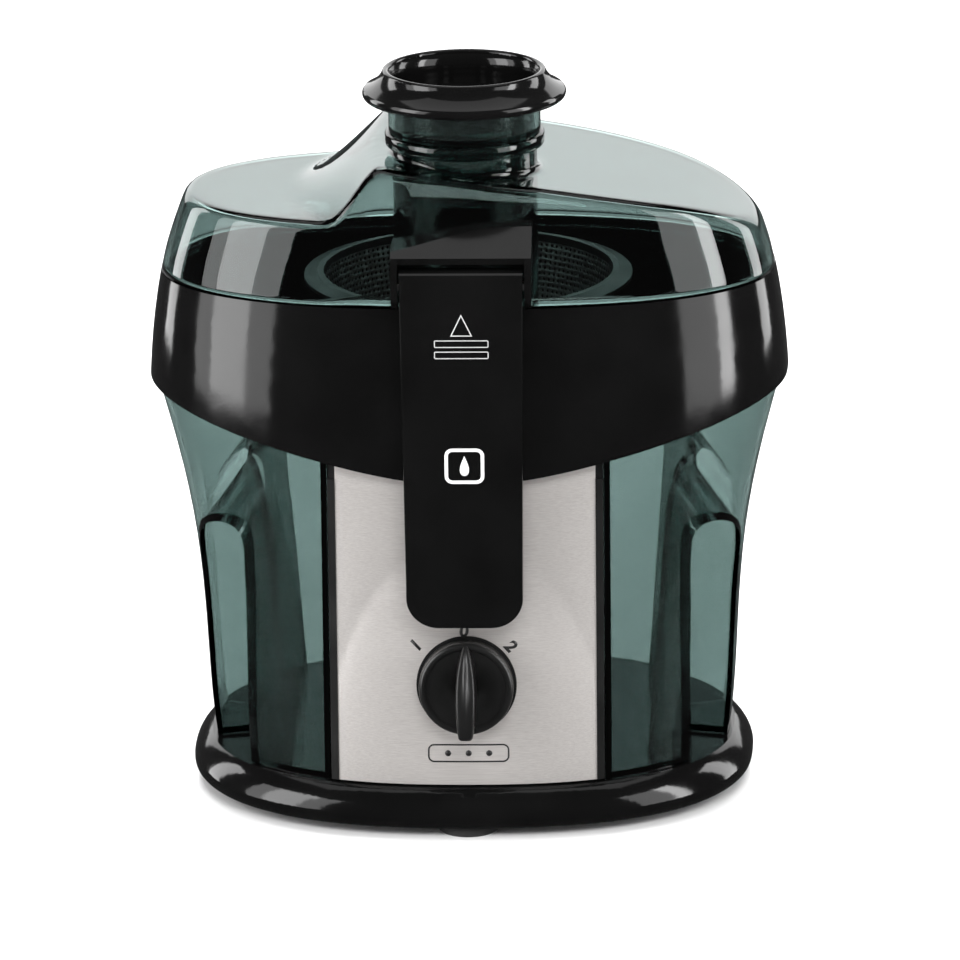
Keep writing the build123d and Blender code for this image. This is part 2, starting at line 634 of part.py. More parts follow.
def brush_holder(side):
    return block(side * 18 - 7.6, side * 18 + 7.6, -4, 4, 50, 58)


def motor_screws():
    """Four long screws, each with its head on top of the rubber mounts' flange."""
    return [rod(BOLT_RADIUS, 34, 144, x, y) + rod(4.0, 144, 147, x, y) for x, y in MOTOR_BOLTS]


def motor_mount(x, y):
    return tube(6.0, 4.2, 140.1, HOUSING_TOP - HOUSING_WALL - 0.1, x, y)


# ---------------------------------------------------------------- writing the nodes
def build():
    right = container()
    nodes = {
        "base_shell": base_shell(),
        "cord_gland": cord_gland(),
        "bottom_cover": bottom_cover(),
        "base_screws": base_screws(),
        "motor_housing": motor_housing(),
        "front_panel": front_panel(),
        "panel_trim_left": panel_trim(-1),
        "panel_trim_right": panel_trim(1),
        "latch_catch": latch_catch(),
        "juice_container": right,
        "pulp_container": mirror(right, Plane.YZ),
        "juice_bowl": juice_bowl(),
        "bowl_seal": bowl_seal(),
        "drive_coupling": drive_coupling(),
        "basket_base": basket_base(),
        "grater_disc": grater_disc(),
        "basket_mesh": basket_mesh(),
        "basket_rim": basket_rim(),
        "lid": lid(),
        "latch_bracket": latch_bracket(),
        "hinge_pin": hinge_pin(),
        "latch_arm": latch_arm(),
        "pusher_body": pusher_body(),
        "pusher_cap": pusher_cap(),
        "speed_knob": speed_knob(),
        "knob_bezel": knob_bezel(),
        "knob_shaft": knob_shaft(),
        "rotary_switch": rotary_switch(),
        "interlock_plunger": interlock_plunger(),
        "safety_switch": safety_switch(),
        "motor_shaft": motor_shaft(),
        "armature_core": armature_core(),
        "armature_windings": armature_windings(),
        "commutator": commutator(),
        "cooling_fan": cooling_fan(),
        "stator_core": stator_core(),
        "field_coil_front": field_coil(-1),
        "field_coil_rear": field_coil(1),
        "lower_bracket": motor_bracket(40, 44, 38),
        "upper_bracket": motor_bracket(134, 140, 133),
        "lower_bearing": bearing(38),
        "upper_bearing": bearing(133),
        "brush_holder_left": brush_holder(-1),
        "brush_holder_right": brush_holder(1),
        "motor_screws": motor_screws(),
    }
    for name, x, y in FOOT_PLACES:
        nodes["foot_" + name] = foot(x, y)
    for i, (x, y) in enumerate(MOTOR_BOLTS):
        nodes["motor_mount_%d" % (i + 1)] = motor_mount(x, y)
    return nodes


def write(nodes):
    os.makedirs("parts", exist_ok=True)
    for name, shape in nodes.items():
        if isinstance(shape, list):
            shape = Compound(children=shape)
        export_step(shape, "parts/" + name + ".step")


write(build())
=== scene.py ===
import math

import bmesh
import bpy
from mathutils import Matrix, Vector
from mathutils.bvhtree import BVHTree


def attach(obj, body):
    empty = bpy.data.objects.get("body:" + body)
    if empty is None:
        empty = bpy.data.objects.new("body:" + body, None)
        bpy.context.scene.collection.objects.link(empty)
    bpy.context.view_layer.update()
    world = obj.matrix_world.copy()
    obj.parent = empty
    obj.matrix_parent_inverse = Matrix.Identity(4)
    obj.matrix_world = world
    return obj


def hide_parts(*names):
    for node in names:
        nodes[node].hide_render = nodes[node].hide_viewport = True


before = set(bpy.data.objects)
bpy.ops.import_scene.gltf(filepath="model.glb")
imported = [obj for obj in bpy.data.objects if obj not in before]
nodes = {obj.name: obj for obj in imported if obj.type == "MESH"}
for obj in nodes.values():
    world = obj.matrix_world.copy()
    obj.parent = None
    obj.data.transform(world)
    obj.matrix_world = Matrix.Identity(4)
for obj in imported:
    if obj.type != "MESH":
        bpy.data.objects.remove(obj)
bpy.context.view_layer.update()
MM = 0.001


# ------------------------------------------------------------------ materials
class Paint:
    """A material and the few calls needed to wire its nodes."""

    def __init__(self, name):
        self.material = bpy.data.materials.new(name)
        self.material.use_nodes = True
        self.tree = self.material.node_tree
        self.tree.nodes.clear()
        self.output = self.tree.nodes.new("ShaderNodeOutputMaterial")
        self.shader = self.tree.nodes.new("ShaderNodeBsdfPrincipled")
        self.tree.links.new(self.shader.outputs["BSDF"], self.output.inputs["Surface"])
        self.place = self.tree.nodes.new("ShaderNodeTexCoord").outputs["Object"]
        self.bumped = None

    def set(self, **values):
        for name, value in values.items():
            self.shader.inputs[name.replace("_", " ")].default_value = value

    def mapped(self, scale):
        node = self.tree.nodes.new("ShaderNodeMapping")
        node.inputs["Scale"].default_value = scale
        self.tree.links.new(self.place, node.inputs["Vector"])
        return node.outputs["Vector"]

    def noise(self, scale, detail=3.0, stretch=(1, 1, 1), rough=0.5):
        node = self.tree.nodes.new("ShaderNodeTexNoise")
        node.inputs["Scale"].default_value = scale
        node.inputs["Detail"].default_value = detail
        node.inputs["Roughness"].default_value = rough
        self.tree.links.new(self.mapped(stretch), node.inputs["Vector"])
        return node.outputs["Fac"]

    def ramp(self, fac, low, high, start=0.3, end=0.7):
        """Two-stop ramp; low and high are greys or colours."""
        node = self.tree.nodes.new("ShaderNodeValToRGB")
        stops = node.color_ramp.elements
        stops[0].position, stops[1].position = start, end
        stops[0].color, stops[1].color = rgba(low), rgba(high)
        self.tree.links.new(fac, node.inputs["Fac"])
        return node.outputs["Color"]

    def to(self, socket, value):
        self.tree.links.new(value, self.shader.inputs[socket])

    def bump(self, height, strength, distance):
        node = self.tree.nodes.new("ShaderNodeBump")
        node.inputs["Strength"].default_value = strength
        node.inputs["Distance"].default_value = distance
        self.tree.links.new(height, node.inputs["Height"])
        if self.bumped is not None:
            self.tree.links.new(self.bumped, node.inputs["Normal"])
        self.bumped = node.outputs["Normal"]
        self.tree.links.new(self.bumped, self.shader.inputs["Normal"])


def rgba(value):
    if isinstance(value, (int, float)):
        return (value, value, value, 1.0)
    return tuple(value) + (1.0,)


def moulded(name, low, high, gloss, grain=900.0, depth=0.00002, specular=0.5):
    """Moulded plastic: faint mottling, soft flow marks and a fine surface grain."""
    p = Paint(name)
    p.to("Base Color", p.ramp(p.noise(35.0, 4.0), low, high))
    p.to("Roughness", p.ramp(p.noise(60.0, 5.0), gloss[0], gloss[1], 0.35, 0.75))
    p.set(IOR=1.5, Specular_IOR_Level=specular)
    p.bump(p.noise(12.0, 2.0), 0.12, 0.00035)
    p.bump(p.noise(grain, 2.0), 0.3, depth)
    return p.material


def smoked(name, tint_low, tint_high, depth_colour, density):
    """Clear smoked plastic: it darkens with depth, with faint flow waves and hairline scuffs."""
    p = Paint(name)
    p.to("Base Color", p.ramp(p.noise(14.0, 3.0), tint_low, tint_high))
    p.to("Roughness", p.ramp(p.noise(90.0, 6.0, (1, 1, 0.25)), 0.0, 0.04, 0.55, 0.8))
    p.set(IOR=1.46, Transmission_Weight=1.0, Specular_IOR_Level=0.5)
    p.bump(p.noise(9.0, 2.0), 0.08, 0.0006)
    inside = p.tree.nodes.new("ShaderNodeVolumeAbsorption")
    inside.inputs["Color"].default_value = rgba(depth_colour)
    inside.inputs["Density"].default_value = density
    p.tree.links.new(inside.outputs["Volume"], p.output.inputs["Volume"])
    return p.material


def brushed(name, low, high, stretch, rough, metallic=1.0):
    """Brushed sheet metal: long fine scratches in colour, gloss and height."""
    p = Paint(name)
    grain = p.noise(2600.0, 4.0, stretch, 0.65)
    p.to("Base Color", p.ramp(grain, low, high, 0.25, 0.75))
    p.to("Roughness", p.ramp(p.noise(900.0, 5.0, stretch, 0.7), rough[0], rough[1], 0.3, 0.7))
    p.set(Metallic=metallic, Anisotropic=0.5)
    p.bump(grain, 0.35, 0.00002)
    p.bump(p.noise(7.0, 2.0), 0.1, 0.0004)
    return p.material


def bright(name, low, high, rough=(0.14, 0.3)):
    """Turned or plated metal with fine machining marks."""
    p = Paint(name)
    p.to("Base Color", p.ramp(p.noise(80.0, 5.0), low, high))
    p.to("Roughness", p.ramp(p.noise(1500.0, 4.0, (0.1, 0.1, 1)), rough[0], rough[1]))
    p.set(Metallic=1.0)
    p.bump(p.noise(1500.0, 2.0, (0.1, 0.1, 1)), 0.3, 0.00003)
    return p.material


PAINTS = {
    "gloss_black": moulded("gloss_black_abs", 0.0022, 0.0038, (0.08, 0.13), specular=0.4),
    "satin_black": moulded("satin_black_pp", 0.005, 0.009, (0.3, 0.42), grain=1400.0, depth=0.00006),
    "smoked_clear": smoked("smoked_clear_san", (0.465, 0.53, 0.52), (0.52, 0.59, 0.585),
                           (0.24, 0.36, 0.34), 290.0),
    "brushed_steel": brushed("brushed_steel_sheet", (0.60, 0.565, 0.545), (0.76, 0.73, 0.705),
                             (0.02, 1, 1), (0.3, 0.42), 0.6),
    "sieve_steel": brushed("sieve_steel_sheet", 0.16, 0.26, (1, 1, 0.05), (0.3, 0.5)),
    "bright_steel": bright("bright_steel_plate", 0.55, 0.7),
    "core_steel": brushed("laminated_core_steel", 0.2, 0.34, (0.02, 0.02, 1), (0.35, 0.5)),
    "bracket_metal": bright("cast_bracket_metal", 0.4, 0.55, (0.3, 0.5)),
    "copper": bright("enamelled_copper", (0.55, 0.21, 0.09), (0.75, 0.33, 0.15), (0.2, 0.35)),
    "soft_rubber": moulded("soft_rubber_black", 0.012, 0.02, (0.6, 0.8), grain=700.0, depth=0.00012),
    "print_white": moulded("printed_white", 0.72, 0.8, (0.35, 0.5)),
    "print_grey": moulded("printed_grey", 0.4, 0.5, (0.35, 0.5)),
    "print_dark": moulded("printed_dark", 0.012, 0.02, (0.35, 0.5)),
    "grey_plastic": moulded("grey_plastic_pa", 0.22, 0.3, (0.35, 0.5), grain=1100.0, depth=0.00005),
}
for node in nodes.values():
    slot_name = node.data.materials[0].name
    node.data.materials[0] = PAINTS[slot_name]


# ------------------------------------------------------------------ mesh helpers
def add_object(name, shape, paint, body):
    """Makes an object of a bmesh, paints it and lets it ride on a body."""
    bmesh.ops.recalc_face_normals(shape, faces=shape.faces)
    mesh = bpy.data.meshes.new(name)
    shape.to_mesh(mesh)
    shape.free()
    mesh.shade_smooth()
    made = bpy.data.objects.new(name, mesh)
    bpy.context.scene.collection.objects.link(made)
    mesh.materials.append(PAINTS[paint])
    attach(made, body)
    return made


def bridge(shape, low, high):
    """Quads between two closed rings of the same length."""
    count = len(low)
    for i in range(count):
        j = (i + 1) % count
        shape.faces.new((low[i], low[j], high[j], high[i]))


def add_ring(shape, points):
    return [shape.verts.new([c * MM for c in p]) for p in points]


def thicken(made, thickness, offset):
    solid = made.modifiers.new("thickness", "SOLIDIFY")
    solid.thickness, solid.offset = thickness, offset
    solid.use_even_offset = True


def smooth_line(knots, at):
    """Catmull-Rom curve through (position, value) knots with uneven spacing."""
    last = len(knots) - 1
    if at <= knots[0][0]:
        return knots[0][1]
    if at >= knots[last][0]:
        return knots[last][1]
    k = next(i for i in range(last) if at <= knots[i + 1][0])

    def slope(i):
        a, b = knots[max(i - 1, 0)], knots[min(i + 1, last)]
        return (b[1] - a[1]) / (b[0] - a[0])

    (p0, v0), (p1, v1) = knots[k], knots[k + 1]
    span = p1 - p0
    t = (at - p0) / span
    return ((2 * t**3 - 3 * t**2 + 1) * v0 + (t**3 - 2 * t**2 + t) * span * slope(k)
            + (3 * t**2 - 2 * t**3) * v1 + (t**3 - t**2) * span * slope(k + 1))


# ------------------------------------------------------------------ lid
OVAL_POWER = 2.4
ROUND = 192                  # points round the lid
LID_FOOT = 235.4             # height of the lid's lower edge
LID_PEAK = 301.0             # above every part of the lid's top
# the lid wall's half width and half depth at each height
LID_HALF_X = [(LID_FOOT, 135.2), (244.0, 133.2), (254.0, 130.0), (266.0, 125.5), (280.0, 119.5),
              (302.0, 107.0)]
LID_HALF_Y = [(LID_FOOT, 78.8), (244.0, 77.0), (254.0, 74.4), (266.0, 70.5), (280.0, 65.8), (302.0, 57.0)]
# height of the long fall to the right, by x
HIGH_SIDE = [(-38.0, 292.5), (0.0, 288.3), (40.0, 283.0), (76.0, 276.5), (103.0, 269.5), (124.0, 260.0),
             (150.0, 243.0)]
LOW_LEVEL = 270.0
HILL_TOP_X = -34.0
HILL_TOE_X = -78.0           # where the hill starts, on the line HILL_MIDDLE_Y
HILL_MIDDLE_Y = 5.0
HILL_HALF_Y = 58.0
TOE_BEND_FRONT, TOE_BEND_BACK = 13.0, 24.0   # how far the toe turns inwards at front and back
CREASE = 4.5                 # size of the rounding where wall and top meet
TUBE_FOOT = 3.0              # radius of the blend between the lid's top and the tube
LID_WALL = 2.4
LIP_HALF_X, LIP_HALF_Y = 135.4, 79.0
LIP_INSET, LIP_WALL = 3.5, 1.7
LIP_LOW, LIP_TOP = 231.4, 236.4
TUBE_Y, TUBE_R, TUBE_IN, BEAD_R, TUBE_TOP, TUBE_LOW = -25.0, 31.6, 29.1, 34.8, 301.6, 200.0
WALL_ROWS, CREASE_ROWS, TOP_ROWS, FOOT_ROWS = 10, 6, 18, 5
HALVINGS = 30                # steps of the search for the crease


def oval_point(angle, half_x, half_y):
    c, s = math.cos(angle), math.sin(angle)
    return (half_x * math.copysign(abs(c) ** (2 / OVAL_POWER), c),
            half_y * math.copysign(abs(s) ** (2 / OVAL_POWER), s))


def wall_point(angle, z):
    x, y = oval_point(angle, smooth_line(LID_HALF_X, z), smooth_line(LID_HALF_Y, z))
    return Vector((x, y, z))


def dome_height(x, y):
    """Top of the lid: low and level on the left, a hill that sweeps up to the tube, then a long fall."""
    bend = TOE_BEND_BACK if y > HILL_MIDDLE_Y else TOE_BEND_FRONT
    toe = HILL_TOE_X + bend * ((y - HILL_MIDDLE_Y) / HILL_HALF_Y) ** 2
    t = min(1.0, max(0.0, (x - toe) / (HILL_TOP_X - toe)))
    rise = t * t * (3 - 2 * t)
    return LOW_LEVEL + (smooth_line(HIGH_SIDE, x) - LOW_LEVEL) * rise


def on_dome(x, y):
    return Vector((x, y, dome_height(x, y)))


def crease_height(angle):
    """Height at which the wall meets the lid's top, found by halving."""
    low, high = LID_FOOT + 1.6, LID_PEAK
    for _ in range(HALVINGS):
        z = (low + high) / 2
        p = wall_point(angle, z)
        if dome_height(p.x, p.y) > z:
            low = z
        else:
            high = z
    return low


def lid_column(angle):
    """Points from the lid's lower edge, over the rounded crease, to the tube's foot."""
    top = crease_height(angle)
    corner = wall_point(angle, top)
    start = wall_point(angle, top - CREASE)
    rise = (top - CREASE - LID_FOOT) / WALL_ROWS
    rows = [wall_point(angle, LID_FOOT + rise * i) for i in range(WALL_ROWS + 1)]
    inward = Vector((-corner.x, TUBE_Y - corner.y, 0))
    gap = inward.length - TUBE_R
    inward.normalize()
    reach = min(CREASE, gap * 0.5)
    end = on_dome(corner.x + inward.x * reach, corner.y + inward.y * reach)
    for i in range(1, CREASE_ROWS + 1):
        t = i / CREASE_ROWS
        rows.append(start * (1 - t) ** 2 + corner * 2 * t * (1 - t) + end * t * t)
    foot = min(TUBE_FOOT, (gap - reach) * 0.6)
    run = gap - reach - foot
    for i in range(1, TOP_ROWS + 1):
        step = reach + run * i / TOP_ROWS
        rows.append(on_dome(corner.x + inward.x * step, corner.y + inward.y * step))
    for i in range(1, FOOT_ROWS + 1):
        turn = math.pi / 2 * i / FOOT_ROWS
        step = gap - foot + foot * math.sin(turn)
        p = on_dome(corner.x + inward.x * step, corner.y + inward.y * step)
        p.z += foot * (1 - math.cos(turn))
        rows.append(p)
    return rows


def lid_dome():
    """The lid's wall and top as one thin skin."""
    columns = [lid_column(2 * math.pi * i / ROUND) for i in range(ROUND)]
    shape = bmesh.new()
    rings = [add_ring(shape, [column[row] for column in columns]) for row in range(len(columns[0]))]
    for low, high in zip(rings, rings[1:]):
        bridge(shape, low, high)
    dome = add_object("lid_dome", shape, "smoked_clear", "lid")
    thicken(dome, LID_WALL * MM, -1)
    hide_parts("lid")


def lathe(name, profile, centre, paint, body, count=128):
    """Closed solid of revolution from a closed (radius, z) profile."""
    shape = bmesh.new()
    rings = []
    for r, z in profile:
        ring = [(centre[0] + r * math.cos(2 * math.pi * i / count),
                 centre[1] + r * math.sin(2 * math.pi * i / count), z) for i in range(count)]
        rings.append(add_ring(shape, ring))
    for low, high in zip(rings, rings[1:] + rings[:1]):
        bridge(shape, low, high)
    return add_object(name, shape, paint, body)


def bow(centre_r, centre_z, radius, start, end, steps=6):
    """Arc of profile points; angles in degrees, 0 pointing outwards and 90 up."""
    points = []
    for i in range(steps + 1):
        a = math.radians(start + (end - start) * i / steps)
        points.append((centre_r + radius * math.cos(a), centre_z + radius * math.sin(a)))
    return points


def feed_tube():
    """Open tube with a rounded bead round its mouth."""
    r = TUBE_R - 0.03
    profile = [(r, TUBE_LOW + 0.6), (r, 250.0), (r, 292.0)]
    profile += bow(r + 0.8, 294.6, 0.8, 180, 90, 3)
    profile += bow(BEAD_R - 1.2, 296.8, 1.2, -90, 0) + bow(BEAD_R - 1.4, TUBE_TOP - 1.4, 1.4, 0, 90)
    profile += bow(TUBE_IN + 0.9, TUBE_TOP - 0.9, 0.9, 90, 180, 4)
    profile += [(TUBE_IN, 250.0), (TUBE_IN, TUBE_LOW + 0.8), (TUBE_IN + 0.8, TUBE_LOW), (r - 0.6, TUBE_LOW)]
    lathe("feed_tube", profile, (0.0, TUBE_Y), "smoked_clear", "lid")


def lid_lip():
    """Lip that drops inside the bowl's rim."""
    shape = bmesh.new()
    rings = []
    deep = LIP_INSET + LIP_WALL
    for inset, z in [(LIP_INSET, LIP_LOW), (LIP_INSET, LIP_TOP), (deep, LIP_TOP), (deep, LIP_LOW)]:
        points = [oval_point(2 * math.pi * i / ROUND, LIP_HALF_X - inset, LIP_HALF_Y - inset)
                  for i in range(ROUND)]
        rings.append(add_ring(shape, [(x, y, z) for x, y in points]))
    for low, high in zip(rings, rings[1:] + rings[:1]):
        bridge(shape, low, high)
    add_object("lid_lip", shape, "smoked_clear", "lid")


# ------------------------------------------------------------------ printed marks
PRINT_LIFT = 0.00003         # metres that a mark stands in front of its surface
PRINT_DEPTH = 0.00004
SPACING = 1.0                # longest straight piece of a printed line
KNOB_Z = 67.6
TRIANGLE = [(-4.4, 229.3), (4.4, 229.3), (0.0, 238.4)]
LINE_WIDTH, FRAME_WIDTH, PLATE_LINE = 0.45, 1.5, 0.7
BAR_LEVELS = (225.7, 220.7)
BADGE_X, BADGE_Z = 0.7, 171.0
PLATE_X, PLATE_Z = 0.6, 36.6
DOT_RADIUS, DOT_PITCH = 1.35, 9.0
FIGURE_SIZE, FIGURE_SLANT, FIGURE_WEIGHT = 0.0076, 0.15, 0.0003
# figure, its angle to the left of upright, and its distance from the knob's centre
FIGURES = (("1", 52.1, 27.9), ("0", 2.9, 23.9), ("2", -48.3, 25.7))


def surface_of(node):
    return BVHTree.FromObject(nodes[node], bpy.context.evaluated_depsgraph_get())


def lay_on(shape, surface):
    """Moves a flat mark, drawn in X and Z, back onto the surface behind it."""
    for v in shape.verts:
        hit = surface.ray_cast(Vector((v.co.x, -1.0, v.co.z)), Vector((0, 1, 0)))[0]
        v.co.y = hit.y - PRINT_LIFT


def closely_spaced(points):
    """The same closed outline with points no further apart than SPACING."""
    spaced = []
    for (x0, z0), (x1, z1) in zip(points, points[1:] + points[:1]):
        parts = max(1, math.ceil(math.hypot(x1 - x0, z1 - z0) / SPACING))
        spaced += [(x0 + (x1 - x0) * i / parts, z0 + (z1 - z0) * i / parts) for i in range(parts)]
    return spaced


def band_along(shape, points, width):
    """Closed ribbon of a given width along an outline of (x, z) points, with mitred corners."""
    points = closely_spaced(points)
    count = len(points)
    inner, outer = [], []
    for i, point in enumerate(points):
        here = Vector(point)
        d0 = (here - Vector(points[i - 1])).normalized()
        d1 = (Vector(points[(i + 1) % count]) - here).normalized()
        mid = (d0 + d1).normalized()
        side = Vector((-mid.y, mid.x))
        reach = width / 2 / max(0.3, side.dot(Vector((-d0.y, d0.x))))
        for ring, way in ((inner, 1), (outer, -1)):
            p = here + side * reach * way
            ring.append(shape.verts.new((p.x * MM, 0, p.y * MM)))
    for i in range(count):
        j = (i + 1) % count
        shape.faces.new((inner[i], inner[j], outer[j], outer[i]))


def rounded_box(cx, cz, width, height, radius, steps=5):
    """Outline of a box with rounded corners."""
    points = []
    for k, (sx, sz) in enumerate([(1, 1), (-1, 1), (-1, -1), (1, -1)]):
        for i in range(steps + 1):
            a = math.pi / 2 * (k + i / steps)
            points.append((cx + sx * (width / 2 - radius) + radius * math.cos(a),
                           cz + sz * (height / 2 - radius) + radius * math.sin(a)))
    return points


def filled(shape, points):
    """Filled convex mark, fanned from its middle."""
    cx = sum(p[0] for p in points) / len(points)
    cz = sum(p[1] for p in points) / len(points)
    hub = shape.verts.new((cx * MM, 0, cz * MM))
    rim = [shape.verts.new((x * MM, 0, z * MM)) for x, z in points]
    for i in range(len(rim)):
        shape.faces.new((hub, rim[i], rim[(i + 1) % len(rim)]))


def drop_outline(cx, cz, size, steps=28):
    """Juice drop: round below, drawn to a point at the top."""
    points = []
    for i in range(steps):
        a = 2 * math.pi * i / steps
        points.append((cx + size * 0.62 * math.sin(a) * math.sin(a / 2) ** 1.5, cz + size * math.cos(a)))
    return points


def circle(cx, cz, radius, steps=20):
    turns = [2 * math.pi * i / steps for i in range(steps)]
    return [(cx + radius * math.cos(a), cz + radius * math.sin(a)) for a in turns]


def finish_mark(name, shape, surface, paint, body):
    """Lays a drawn mark on its surface and gives it the thickness of ink."""
    lay_on(shape, surface)
    thicken(add_object(name, shape, paint, body), PRINT_DEPTH, 0)


def latch_marks():
    """Triangle over two bars, and a drop in a frame."""
    surface = surface_of("latch_arm")
    lines = bmesh.new()
    band_along(lines, TRIANGLE, LINE_WIDTH)
    for z in BAR_LEVELS:
        band_along(lines, rounded_box(0.0, z, 23.0, 2.9, 0.5), LINE_WIDTH - 0.03)
    finish_mark("latch_lines", lines, surface, "print_grey", "latch")
    badge = bmesh.new()
    band_along(badge, rounded_box(BADGE_X, BADGE_Z, 15.6, 14.4, 2.6), FRAME_WIDTH)
    filled(badge, drop_outline(BADGE_X, BADGE_Z + 0.2, 4.6))
    finish_mark("latch_badge", badge, surface, "print_white", "latch")


def panel_marks():
    """Three dots in a frame below the knob, and the dial's figures round it."""
    surface = surface_of("front_panel")
    plate = bmesh.new()
    band_along(plate, rounded_box(PLATE_X, PLATE_Z, 35.0, 7.6, 2.4), PLATE_LINE)
    for place in (-1, 0, 1):
        filled(plate, circle(PLATE_X + place * DOT_PITCH, PLATE_Z, DOT_RADIUS))
    finish_mark("panel_badge", plate, surface, "print_dark", "housing")
    for text, degrees, radius in FIGURES:
        finish_mark("dial_" + text, numeral(text, degrees, radius), surface, "print_dark", "housing")


def numeral(text, degrees, radius):
    """One dial figure, turned to face the knob."""
    curve = bpy.data.curves.new("figure", "FONT")
    curve.body, curve.size = text, FIGURE_SIZE
    curve.align_x, curve.align_y = "CENTER", "CENTER"
    curve.shear, curve.offset = FIGURE_SLANT, FIGURE_WEIGHT
    drawn = bpy.data.objects.new("figure", curve)
    bpy.context.scene.collection.objects.link(drawn)
    mesh = bpy.data.meshes.new_from_object(drawn.evaluated_get(bpy.context.evaluated_depsgraph_get()))
    bpy.data.objects.remove(drawn)
    shape = bmesh.new()
    shape.from_mesh(mesh)
    bpy.data.meshes.remove(mesh)
    a = math.radians(degrees)
    for v in shape.verts:
        x, z = v.co.x, v.co.y
        v.co = ((x * math.cos(a) - z * math.sin(a)) - radius * MM * math.sin(a), 0,
                (x * math.sin(a) + z * math.cos(a)) + (KNOB_Z + radius * math.cos(a)) * MM)
    bmesh.ops.remove_doubles(shape, verts=shape.verts, dist=1e-6)
    return shape


# ------------------------------------------------------------------ knob
KNOB_Y = -87.86
KNOB_LEAN = math.atan2(3.2, 45.0)
KNOB_R = 20.65
KNOB_BORE = 3.2
# along the grip from its top: place, half width, height, depth of the groove on its back
GRIP = [(19.6, 0.7, 10.6, 0.0), (17.0, 1.8, 13.0, 0.3), (13.0, 2.9, 15.6, 1.2), (8.0, 3.7, 18.0, 1.5),
        (2.0, 4.1, 20.2, 1.4), (-4.0, 4.15, 21.7, 0.7), (-10.0, 3.9, 22.5, 0.0), (-16.0, 3.4, 22.8, 0.0),
        (-18.8, 3.0, 22.5, 0.0), (-19.8, 2.4, 21.6, 0.0)]


def grip_section(y, half, top, groove):
    """Closed outline of the grip at one place along it."""
    edge = min(0.9, half * 0.5)
    side = [(half + 0.5, 8.0), (half + 0.1, top - 1.4 * edge), (half - 0.35 * edge, top - 0.35 * edge),
            (half - edge, top), (half * 0.3, top - groove * 0.2)]
    ring = side + [(0.0, top - groove)] + [(-x, z) for x, z in reversed(side)]
    return [(x, y, z) for x, z in ring]


def stand_on_panel(made):
    """Turns a mesh drawn flat, with Z outwards and Y up, onto the panel at the knob."""
    turn = Matrix.Rotation(math.pi / 2 - KNOB_LEAN, 4, "X")
    made.data.transform(Matrix.Translation((0, KNOB_Y * MM, KNOB_Z * MM)) @ turn)


def knob():
    """Dished dial with a leaf-shaped grip that rises towards its lower end."""
    profile = [(KNOB_BORE, 0.9), (KNOB_R - 0.5, 0.9), (KNOB_R, 1.4), (KNOB_R, 6.6)]
    profile += bow(KNOB_R - 1.9, 7.6, 1.9, 0, 120) + [(17.6, 8.5), (16.8, 8.4), (KNOB_BORE, 8.7)]
    dial = lathe("knob_dial", profile, (0.0, 0.0), "satin_black", "knob")
    stand_on_panel(dial)
    shape = bmesh.new()
    rings = [add_ring(shape, grip_section(*row)) for row in GRIP]
    for low, high in zip(rings, rings[1:]):
        bridge(shape, low, high)
    shape.faces.new(rings[0])
    shape.faces.new(rings[-1])
    grip = add_object("knob_grip", shape, "satin_black", "knob")
    soften = grip.modifiers.new("soften", "BEVEL")
    soften.width, soften.segments, soften.angle_limit = 0.25 * MM, 2, math.radians(35)
    stand_on_panel(grip)
    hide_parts("speed_knob")
    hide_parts("speed_knob")


# ------------------------------------------------------------------ sieve
SIEVE_LOW, SIEVE_HIGH = (58.9, 196.0), (64.9, 228.6)   # radius and height
SIEVE_THICKNESS = 0.0005
SIEVE_ACROSS, SIEVE_UP = 150, 13
HOLE = 0.3                   # hole radius as a share of a cell


def sieve_wall():
    """Cone of thin steel with rows of real holes."""
    shape = bmesh.new()
    known = {}

    def vertex(u, v):
        key = (round(u * 1000) % (SIEVE_ACROSS * 1000), round(v * 1000))
        if key not in known:
            t = v / SIEVE_UP
            r = SIEVE_LOW[0] + (SIEVE_HIGH[0] - SIEVE_LOW[0]) * t
            z = SIEVE_LOW[1] + (SIEVE_HIGH[1] - SIEVE_LOW[1]) * t
            a = 2 * math.pi * u / SIEVE_ACROSS
            known[key] = shape.verts.new((r * math.cos(a) * MM, r * math.sin(a) * MM, z * MM))
        return known[key]

    around = [(0, 0), (0.5, 0), (1, 0), (1, 0.5), (1, 1), (0.5, 1), (0, 1), (0, 0.5)]
    for row in range(SIEVE_UP):
        for cell in range(SIEVE_ACROSS):
            frame_ring = [vertex(cell + u, row + v) for u, v in around]
            hole_ring = []
            for u, v in around:
                a = math.atan2(v - 0.5, u - 0.5)
                hole_ring.append(vertex(cell + 0.5 + HOLE * math.cos(a), row + 0.5 + HOLE * math.sin(a)))
            bridge(shape, frame_ring, hole_ring)
    wall = add_object("sieve_wall", shape, "sieve_steel", "basket")
    thicken(wall, SIEVE_THICKNESS, 0)
    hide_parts("basket_mesh")


# ------------------------------------------------------------------ setting
LIGHT_TARGET = (0, 0, 0.16)
